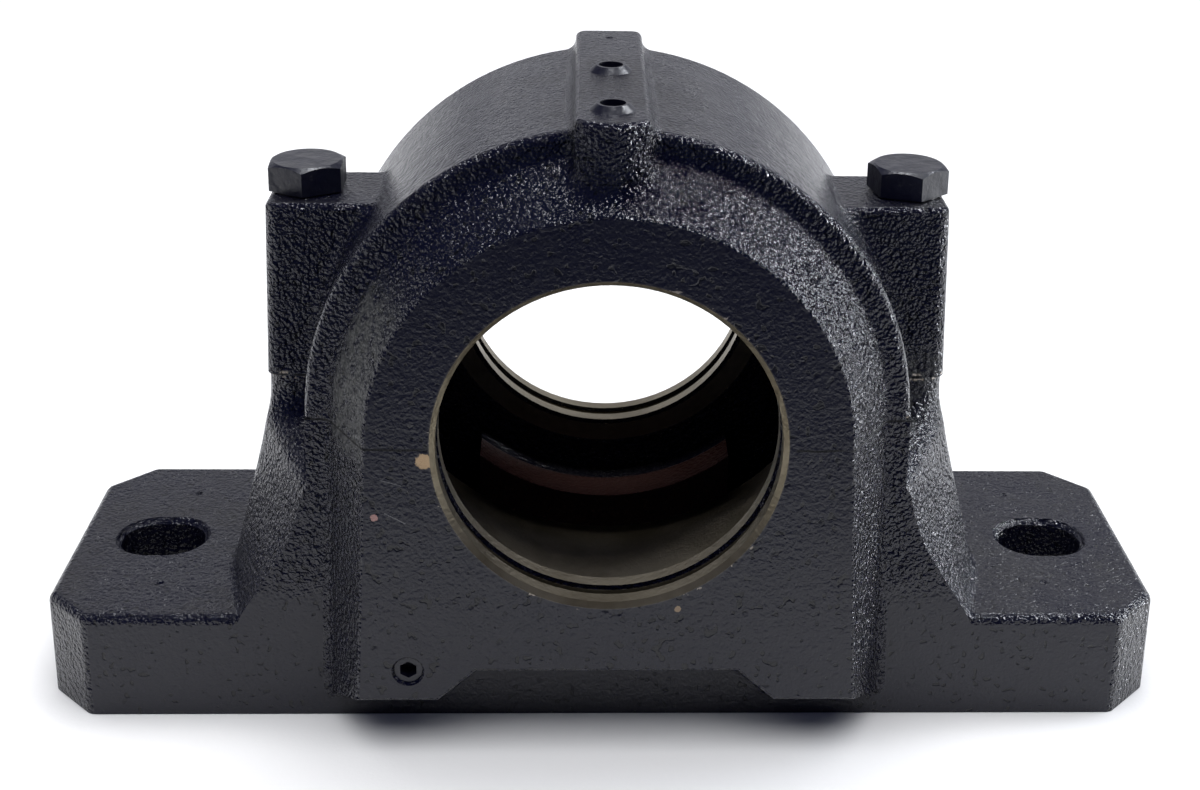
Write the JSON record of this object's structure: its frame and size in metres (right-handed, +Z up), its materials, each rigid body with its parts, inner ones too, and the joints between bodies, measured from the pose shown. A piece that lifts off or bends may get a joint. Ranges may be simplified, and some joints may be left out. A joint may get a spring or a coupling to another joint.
{
  "type": "split plummer block housing",
  "caption": "Split cast-iron plummer block housing with bolted cap, conical shaft bosses, slotted foot, grease ridge and drain plug, sold empty.",
  "frame": {"origin": "centre of the mounting face, midway between the two foot slots and under the middle of the bearing seat", "axes": "+X along the foot, +Y along the shaft towards the rear boss, +Z up from the mounting face"},
  "size_m": [0.345, 0.14, 0.1958],
  "materials": {
    "casting_paint": "semi-gloss black-blue paint over rough casting",
    "bolt_paint": "semi-gloss black-blue paint",
    "pin_steel": "ground",
    "plug_paint": "painted over"
  },
  "bodies": {
    "root": {"base": "casting_paint", "cap": "casting_paint", "cap_bolt_left": "bolt_paint", "cap_bolt_right": "bolt_paint", "dowel_pin_left": "pin_steel", "dowel_pin_right": "pin_steel", "grease_plug_front": "plug_paint", "grease_plug_rear": "plug_paint", "drain_plug": "plug_paint"}
  },
  "joints": []
}
